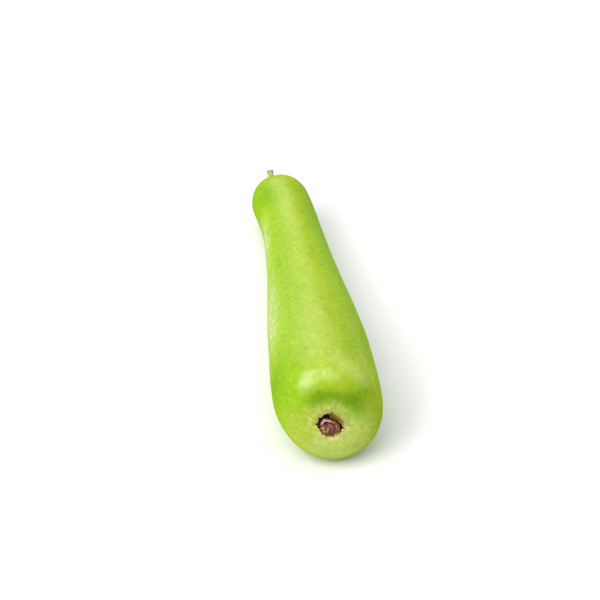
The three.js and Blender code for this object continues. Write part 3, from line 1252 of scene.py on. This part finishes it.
@dataclass
class BlossomScar:
    """Dried remains of the flower: a lip that curls over a streaked dome, with beads and teeth.

    Rings, places, spreads and spacings on them are shares of their radius.
    """

    form: GourdForm
    pit: Pit = Pit()
    radius: float = 7.9 * MM
    flatness: float = 0.83
    shift_in_pit: Pair = (-1.5 * MM, -2.7 * MM)
    rag: tuple[tuple[int, float, float], ...] = ((3, 0.16, 0.4), (8, 0.12, 1.9), (21, 0.3, 0.8))
    overlap: float = 1.4 * MM
    overlap_arc: Arc = Arc(4.5, 1.1, 0.9)
    base: float = 0.8 * MM
    brim_arc: Arc = Arc(1.5, 1.1, 0.6)
    brim_ring: Ring = Ring(0.74, 0.1, 0.04)
    brim_height: float = 2.1 * MM
    lip_arc: Arc = Arc(2.1, 0.5, 0.6)
    groove_arc: Arc = Arc(1.5, 0.9, 0.6)
    groove_ring: Ring = Ring(0.54, 0.13, 0.03)
    groove_depth: float = 1.3 * MM
    dome_at: Pair = (0.1, -0.2)
    dome_spread: float = 0.62
    dome_height: float = 2.0 * MM
    ridge_height: float = 0.35 * MM
    ridge_spacing: float = 0.23
    ridge_waver: float = 2.0
    bead_patches: tuple[Triple, ...] = ((-0.47, -0.4, 0.34), (0.8, -0.05, 0.2))
    bead_height: float = 0.84 * MM
    bead_base: float = 0.72 * MM
    teeth_arc: Arc = Arc(5.6, 1.2)
    teeth_ring: Ring = Ring(0.86, 0.14)
    teeth_height: float = 1.6 * MM
    teeth_split: float = 0.9
    fringe_arc: Arc = Arc(4.5, 1.1)
    fringe_range: Range = (0.6, 0.8)
    crumb_height: float = 0.16 * MM
    crumb_ripple: tuple[float, int] = (1.3 * MM, 60)
    bead_ripple: tuple[float, int] = (1.7 * MM, 40)
    waver_ripple: tuple[float, int] = (5 * MM, 12)
    thinnest: float = 0.1 * MM
    edge_fall: float = 1 / 14
    underside: float = 0.9
    gap: float = 0.3 * MM
    rings: int = 90
    sides: int = 260

    def edge(self, angle: Array) -> Array:
        """Radius of the ragged edge at angles, which laps onto the pit's wall below."""
        rag = sum(height * np.cos(lobes * angle + turn) / lobes for lobes, height, turn in self.rag)
        oval = np.hypot(np.cos(angle), self.flatness * np.sin(angle))
        return self.radius * (1 + rag) * oval + self.overlap * self.overlap_arc.share(angle)

    def relief(self, share: Array, angle: Array, spots: Array) -> tuple[Array, dict[Mark, Array]]:
        """Heights above the pit's floor, and what is where.

        Args:
            share: Shares of the radius.
            angle: Angles round the scar, from +X upwards.
            spots: Places of the points, which the unevenness follows.

        Returns:
            Heights, and marks for the finish.
        """
        rng = np.random.default_rng(SEED + 1)
        ripples = (self.crumb_ripple, self.bead_ripple, self.waver_ripple)
        crumbs, beads, waver = (Ripple(rng, *ripple).at(spots) for ripple in ripples)
        x, z = share * np.cos(angle), share * np.sin(angle)
        brim = self.brim_arc.share(angle) * self.brim_ring.share(share, waver)
        lip = brim * self.lip_arc.share(angle)
        groove = self.groove_arc.share(angle) * self.groove_ring.share(share, waver)
        dome = bell(np.hypot(x - self.dome_at[0], z - self.dome_at[1]) / self.dome_spread)
        ridges = np.cos(TURN * x / self.ridge_spacing + self.ridge_waver * waver) * dome
        patch = sum(bell(np.hypot(x - px, z - pz) / wide) for px, pz, wide in self.bead_patches)
        teeth = self.teeth_arc.share(angle) * self.teeth_ring.share(share)
        teeth = teeth * ease(0.5 + self.teeth_split * beads)
        fringe = self.fringe_arc.share(angle) * rise(share, *self.fringe_range)
        tall = self.base + self.brim_height * brim - self.groove_depth * groove
        tall = tall + self.dome_height * dome + self.ridge_height * ridges
        tall = tall + patch * (self.bead_base + self.bead_height * beads)
        tall = tall + self.teeth_height * teeth + self.crumb_height * crumbs
        tall = np.maximum(tall, self.thinnest) * ease((1 - share) / self.edge_fall)
        marks = {
            Mark.HEIGHT: tall / (self.base + self.brim_height),
            Mark.LIP: lip,
            Mark.GROOVE: groove * (1 - brim),
            Mark.BEADS: patch,
            Mark.TEETH: teeth + brim - lip,
            Mark.FRINGE: fringe,
        }
        return tall, {mark: np.clip(values, 0, 1) for mark, values in marks.items()}

    def build(self, shift: Array) -> bpy.types.Object:
        """Builds the flower's remains.

        Args:
            shift: Step from the fruit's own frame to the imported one.

        Returns:
            Their object.
        """
        floor = self.pit.depth + self.pit.dish_depth - self.gap
        shares = np.linspace(0, 1, self.rings + 1)
        share, angle = np.meshgrid(shares, turns(self.sides), indexing="ij")
        out = share * self.edge(angle)
        tall, marks = self.relief(share, angle, self.form.place(0 * out, out, angle))
        top = self.form.place(floor - tall, out, angle)
        under = self.form.place(floor + 0 * angle[-1:], self.underside * out[-1:], angle[-1:])
        step = shift + np.array([self.shift_in_pit[0], 0, self.shift_in_pit[1]])
        points = np.concatenate([top[1:], under]) + step
        centre = top[0, 0] + step
        below = self.form.place(np.array([floor]), np.array([0.0]), np.array([0.0]))[0] + step
        marks = {mark: np.pad(values, ((0, 2), (0, 0))) for mark, values in marks.items()}
        piece = skin_over("gourd_blossom_scar", centre, points, below, marks)
        dress(piece, CorkFinish().material(), "blossom_scar")
        return piece


def outwards(azimuth: float, elevation: float) -> Vector:
    """Direction of a lamp or the camera from the gourd.

    Args:
        azimuth: Degrees from the blossom end's side towards +X.
        elevation: Degrees above level.

    Returns:
        A unit vector.
    """
    a, e = math.radians(azimuth), math.radians(elevation)
    return Vector((math.sin(a) * math.cos(e), -math.cos(a) * math.cos(e), math.sin(e)))


@dataclass(frozen=True)
class Lamp:
    """Large soft light, described as it is seen from the gourd."""

    name: str
    azimuth: float
    elevation: float
    spread: float
    radiance: float

    def hang(self) -> None:
        """Hangs the lamp far away, so that it lights the whole floor evenly."""
        spread = math.radians(self.spread)
        data = bpy.data.lights.new(self.name, "SUN")
        data.angle = 2 * spread
        data.energy = self.radiance * math.pi * math.sin(spread) ** 2
        lamp = bpy.data.objects.new(self.name, data)
        lamp.rotation_mode = "QUATERNION"
        towards = -outwards(self.azimuth, self.elevation)
        lamp.rotation_quaternion = towards.to_track_quat("-Z", "Y")
        bpy.context.scene.collection.objects.link(lamp)


@dataclass
class Studio:
    """Pale floor, soft lights and the camera."""

    floor_size: float = 12.0
    floor_drop: float = 0.05 * MM
    glow: float = 0.1
    lamps: tuple[Lamp, ...] = (
        Lamp("key", -54.0, 34.0, 15.0, 7.4),
        Lamp("key top", -82.0, 53.0, 12.0, 5.8),
        Lamp("key low", -40.0, 19.0, 9.0, 4.5),
        Lamp("overhead", -20.0, 72.0, 26.0, 2.5),
        Lamp("rear high", -178.0, 46.0, 28.0, 0.9),
        Lamp("rear low", -170.0, 12.0, 19.0, 0.65),
        Lamp("side", 118.0, 38.0, 28.0, 1.1),
    )
    azimuth: float = -5.76
    elevation: float = 34.74
    distance: float = 1071.1 * MM
    aim: Triple = (-9.86 * MM, 150 * MM, 52.9 * MM)
    focal_px: float = 1300.0
    frame_px: float = 600.0
    sensor: float = 36.0

    def lay_floor(self) -> None:
        """Lays the floor just under the gourd."""
        half = self.floor_size / 2
        corners = [(-half, -half), (half, -half), (half, half), (-half, half)]
        mesh = bpy.data.meshes.new("floor")
        mesh.from_pydata([(x, y, -self.floor_drop) for x, y in corners], [], [(0, 1, 2, 3)])
        floor = bpy.data.objects.new("floor", mesh)
        bpy.context.scene.collection.objects.link(floor)
        floor.data.materials.append(FloorFinish().material())

    def light(self) -> None:
        """Hangs the lamps and sets the glow of the surroundings."""
        world = bpy.data.worlds.new("surroundings")
        world.use_nodes = True
        background = world.node_tree.nodes["Background"]
        background.inputs["Color"].default_value = (1.0, 1.0, 1.0, 1.0)
        background.inputs["Strength"].default_value = self.glow
        bpy.context.scene.world = world
        for lamp in self.lamps:
            lamp.hang()
        bpy.context.scene.view_settings.view_transform = "Standard"

    def aim_camera(self, shift: Array) -> None:
        """Puts the camera where the photograph's camera stood.

        Args:
            shift: Step from the fruit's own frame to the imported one.
        """
        data = bpy.data.cameras.new("camera")
        data.sensor_width = self.sensor
        data.lens = self.focal_px / self.frame_px * self.sensor
        camera = bpy.data.objects.new("camera", data)
        back = outwards(self.azimuth, self.elevation)
        camera.location = Vector(np.array(self.aim) + shift) + back * self.distance
        camera.rotation_mode = "QUATERNION"
        camera.rotation_quaternion = (-back).to_track_quat("-Z", "Y")
        bpy.context.scene.collection.objects.link(camera)
        bpy.context.scene.camera = camera


def main() -> None:
    """Builds the gourd and its studio."""
    logging.basicConfig(level=logging.INFO, format="%(name)s: %(message)s")
    form = GourdForm()
    shift = form.shift()
    builders: list[Callable[[Array], bpy.types.Object]] = [
        Fruit(form).build, Stem(form).build, BlossomScar(form).build,
    ]
    for build in builders:
        log.info("built %s", build(shift).name)
    studio = Studio()
    studio.lay_floor()
    studio.light()
    studio.aim_camera(shift)


if __name__ == "__main__":
    main()
